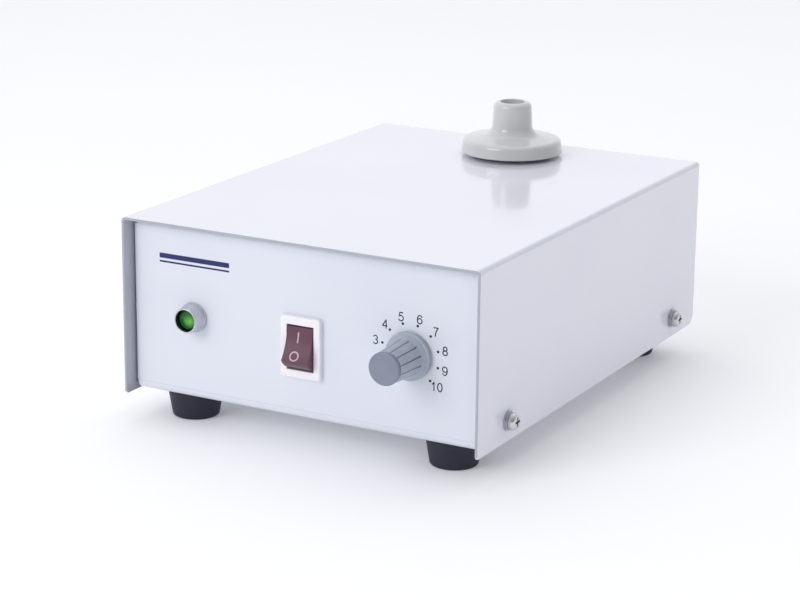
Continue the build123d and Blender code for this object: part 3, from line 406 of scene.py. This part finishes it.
def round_bar(width, height, radius, steps=8):
    """A rectangle with round corners, centred."""
    points = []
    for corner, (sx, sy) in enumerate(((1, 1), (-1, 1), (-1, -1), (1, -1))):
        cx, cy = sx * (width / 2 - radius), sy * (height / 2 - radius)
        for i in range(steps + 1):
            turn = math.pi / 2 * (corner + i / steps)
            points.append((cx + radius * math.cos(turn), cy + radius * math.sin(turn)))
    return points


def dense(loop, step=0.4):
    """The same outline with its long sides divided."""
    points = []
    for start, end in zip(loop, loop[1:] + loop[:1]):
        count = max(1, round(math.dist(start, end) / step))
        points += [
            tuple(a + (b - a) * i / count for a, b in zip(start, end)) for i in range(count)
        ]
    return points


def arc(x, y, reach, rise, start, end, steps=24):
    """Points on an ellipse from one angle to another, in degrees."""
    turns = [math.radians(start + (end - start) * i / steps) for i in range(steps + 1)]
    return [(x + reach * math.cos(turn), y + rise * math.sin(turn)) for turn in turns]


# Strokes of each digit, on a grid where a digit is 0.9 high; the nine is a turned six
SIX = [
    arc(0.30, 0.50, 0.28, 0.40, 28, 180) + [(0.02, 0.28)],
    arc(0.29, 0.28, 0.27, 0.28, 180, 540),
]
STROKES = {
    "0": [arc(0.28, 0.45, 0.26, 0.45, 0, 360)],
    "1": [[(0.08, 0.67), (0.17, 0.71), (0.26, 0.79), (0.33, 0.90)], [(0.33, 0.95), (0.33, -0.05)]],
    "2": [
        arc(0.28, 0.65, 0.25, 0.25, 172, -38) + [(0.38, 0.38), (0.13, 0.15), (0.03, 0.0)],
        [(-0.05, 0.0), (0.56, 0.0)],
    ],
    "3": [arc(0.27, 0.69, 0.22, 0.21, 168, -90), arc(0.27, 0.24, 0.26, 0.24, 90, -165)],
    "4": [[(0.42, -0.05), (0.42, 0.93)], [(0.42, 0.90), (0.0, 0.24)], [(-0.04, 0.24), (0.58, 0.24)]],
    "5": [
        [(0.52, 0.90), (0.11, 0.90)], [(0.14, 0.92), (0.07, 0.46)],
        arc(0.27, 0.29, 0.27, 0.29, 142, -162),
    ],
    "6": SIX,
    "7": [[(0.0, 0.90), (0.56, 0.90)], [(0.55, 0.90), (0.37, 0.63), (0.25, 0.33), (0.20, -0.05)]],
    "8": [arc(0.28, 0.69, 0.21, 0.21, 0, 360), arc(0.28, 0.24, 0.26, 0.24, 0, 360)],
    "9": [[(0.58 - x, 0.90 - y) for x, y in line] for line in SIX],
}
STROKE_WIDTH, GLYPH_UNIT = 0.40, 3.05       # mm
GLYPH_STEP = 0.74                           # from one digit to the next, on the same grid


def numeral(text, matrix):
    """A printed number in plain strokes, centred on the matrix."""
    lines = [
        [((x + GLYPH_STEP * place) * GLYPH_UNIT, y * GLYPH_UNIT) for x, y in line]
        for place, digit in enumerate(text) for line in STROKES[digit]
    ]
    xs, ys = [x for line in lines for x, _ in line], [y for line in lines for _, y in line]
    middle = ((min(xs) + max(xs)) / 2, (min(ys) + max(ys)) / 2)
    data = bpy.data.curves.new("numeral", "CURVE")
    data.dimensions = "3D"
    data.bevel_depth = STROKE_WIDTH / 2 * MM
    data.bevel_resolution = 3
    data.use_fill_caps = True
    for line in lines:
        closed = math.dist(line[0], line[-1]) < 1e-6
        points = line[:-1] if closed else line
        spline = data.splines.new("POLY")
        spline.points.add(len(points) - 1)
        for point, (x, y) in zip(spline.points, points):
            point.co = ((x - middle[0]) * MM, (y - middle[1]) * MM, 0, 1)
        spline.use_cyclic_u = closed
    curve = bpy.data.objects.new("numeral", data)
    bpy.context.scene.collection.objects.link(curve)
    curve.matrix_world = matrix @ Matrix.Diagonal((1, 1, INK_THICKNESS / (STROKE_WIDTH * MM), 1))
    return curve


panel_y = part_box("pot_nut")[1].y            # the nut bears on the front panel
knob_low, knob_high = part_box("knob")
knob_centre = (knob_low + knob_high) / 2


def on_panel(x, z):
    """Stands flat artwork up on the front panel; x and z in metres."""
    matrix = Matrix.Rotation(math.radians(90), 4, "X")
    matrix.translation = (x, panel_y - INK_THICKNESS / 2, z)
    return matrix


DOT_CIRCLE, DOT_RADIUS = 10.4, 0.45
FIRST_ANGLE, ANGLE_STEP, LAST_MARK = 225.0, 30.0, 10
NUMBER_ACROSS, NUMBER_RISE = 2.6, 2.3       # how far a number stands outside its dot
TEN_ACROSS = 0.9                            # and the wider ten a little further


def print_dial():
    dots, numbers = [], []
    for mark in range(1, LAST_MARK + 1):
        turn = math.radians(FIRST_ANGLE - ANGLE_STEP * (mark - 1))
        across, rise = math.cos(turn), math.sin(turn)
        dots.append(flat_curve(
            [circle(DOT_RADIUS, 32)],
            on_panel(knob_centre.x + DOT_CIRCLE * across * MM, knob_centre.z + DOT_CIRCLE * rise * MM),
        ))
        reach = DOT_CIRCLE + NUMBER_ACROSS + (TEN_ACROSS if mark == LAST_MARK else 0.0)
        numbers.append(numeral(
            str(mark),
            on_panel(
                knob_centre.x + reach * across * MM,
                knob_centre.z + (DOT_CIRCLE + NUMBER_RISE) * rise * MM,
            ),
        ))
    as_piece(dots, "dial_dots", dark_ink, "enclosure")
    as_piece(numbers, "dial_numbers", dark_ink, "enclosure")


STRIPES_ACROSS, STRIPES_RISE, STRIPE_LENGTH = -41.3, 48.4, 27.4
STRIPES = ((1.7, 0.7, 0.3), (0.6, -1.3, 0.2))       # height, offset upwards and corner radius


def print_stripes():
    stripes = [
        flat_curve(
            [round_bar(STRIPE_LENGTH, height, corner)],
            on_panel(STRIPES_ACROSS * MM, cover_low.z + (STRIPES_RISE + offset) * MM),
        )
        for height, offset, corner in STRIPES
    ]
    as_piece(stripes, "panel_stripes", navy_ink, "enclosure")


# The rocker's front is a round hollow between two tips, with its axis in front of the pivot
pivot = Vector(next(joint["pos_m"] for joint in frame["joints"] if joint["name"] == "rocker_tilt"))
ROCKER_REST = math.radians(-20.0)
END_RADIUS, TIP_ANGLE, HOLLOW_RADIUS = 7.4, math.radians(50.5), 19.5
HOLLOW_AXIS = -(
    END_RADIUS * math.cos(TIP_ANGLE)
    + math.sqrt(HOLLOW_RADIUS ** 2 - (END_RADIUS * math.sin(TIP_ANGLE)) ** 2)
)


def onto_rocker(point):
    """Bends flat artwork, drawn about the rocker's middle, onto its hollow front."""
    turn = point.y / (HOLLOW_RADIUS * MM)
    reach = HOLLOW_RADIUS * MM - point.z - INK_THICKNESS / 2
    spot = Vector((point.x, HOLLOW_AXIS * MM + reach * math.cos(turn), reach * math.sin(turn)))
    return pivot + Matrix.Rotation(ROCKER_REST, 3, "X") @ spot


def at_rocker(across, along):
    return Matrix.Translation((across * MM, along * MM, 0))


BAR_WIDTH, BAR_LENGTH, BAR_CORNER, BAR_PLACE = 0.5, 3.6, 0.15, (-0.4, 2.45)
RING_OUTER, RING_INNER, RING_PLACE = 1.72, 1.24, (-0.6, -3.8)


def print_rocker_marks():
    bar = flat_curve([dense(round_bar(BAR_WIDTH, BAR_LENGTH, BAR_CORNER))], at_rocker(*BAR_PLACE))
    as_piece([bar], "rocker_bar_mark", pale_ink, "rocker", onto_rocker)
    ring = flat_curve([circle(RING_OUTER), circle(RING_INNER)], at_rocker(*RING_PLACE))
    as_piece([ring], "rocker_ring_mark", pale_ink, "rocker", onto_rocker)


print_dial()
print_stripes()
print_rocker_marks()


# Stage: floor, lights and surroundings

def make_floor(half=4.0):
    """A plain floor that is clear from below, so that the underside can be seen."""
    mesh = bpy.data.meshes.new("floor")
    mesh.from_pydata(
        [(-half, -half, 0), (half, -half, 0), (half, half, 0), (-half, half, 0)], [], [(0, 1, 2, 3)]
    )
    floor = bpy.data.objects.new("floor", mesh)
    bpy.context.scene.collection.objects.link(floor)
    look = finish(
        "floor", (250, 250, 251), (248, 248, 250), 0.7, patch=300, grain=2.0, depth=0.0,
        Emission_Color=(1.0, 1.0, 1.0, 1.0), Emission_Strength=0.12,
    )
    tree = look.node_tree
    shader = tree.nodes["Principled BSDF"]
    clear = add(tree, "ShaderNodeBsdfTransparent", {})
    side = add(tree, "ShaderNodeNewGeometry", {}).outputs["Backfacing"]
    both = add(tree, "ShaderNodeMixShader", {0: side, 1: shader.outputs[0], 2: clear.outputs[0]})
    tree.links.new(both.outputs[0], tree.nodes["Material Output"].inputs["Surface"])
    mesh.materials.append(look)


def soft_light(name, place, aim, size, power):
    data = bpy.data.lights.new(name, "AREA")
    data.shape = "SQUARE"
    data.size = size
    data.energy = power
    lamp = bpy.data.objects.new(name, data)
    bpy.context.scene.collection.objects.link(lamp)
    lamp.location = place
    lamp.rotation_mode = "QUATERNION"
    lamp.rotation_quaternion = (Vector(aim) - Vector(place)).to_track_quat("-Z", "Y")


make_floor()
soft_light("overhead", place=(-0.1, 0.2, 1.3), aim=(0, 0, 0.03), size=1.2, power=2.0)
soft_light("front_left", place=(-0.5, -1.35, 0.8), aim=(0, 0, 0.04), size=0.8, power=8.2)


BRIGHT_SIDE = (-0.4, 0.45, 0.1)
DIM_LEVEL, BRIGHT_LEVEL = 0.34, 1.05


def make_surroundings():
    """A pale room, brighter behind and to the left than in front and to the right."""
    world = bpy.data.worlds.new("studio")
    bpy.context.scene.world = world
    world.use_nodes = True
    tree = world.node_tree
    direction = add(tree, "ShaderNodeTexCoord", {}).outputs["Generated"]
    lean = add(
        tree, "ShaderNodeVectorMath", {0: direction, 1: BRIGHT_SIDE}, operation="DOT_PRODUCT",
    )
    level = add(
        tree, "ShaderNodeMapRange",
        {
            "Value": lean.outputs["Value"], "From Min": -0.5, "From Max": 0.5,
            "To Min": DIM_LEVEL, "To Max": BRIGHT_LEVEL,
        },
    )
    background = tree.nodes["Background"]
    background.inputs["Color"].default_value = (0.96, 0.97, 1.0, 1.0)
    tree.links.new(level.outputs["Result"], background.inputs["Strength"])


make_surroundings()
bpy.context.scene.view_settings.view_transform = "Standard"
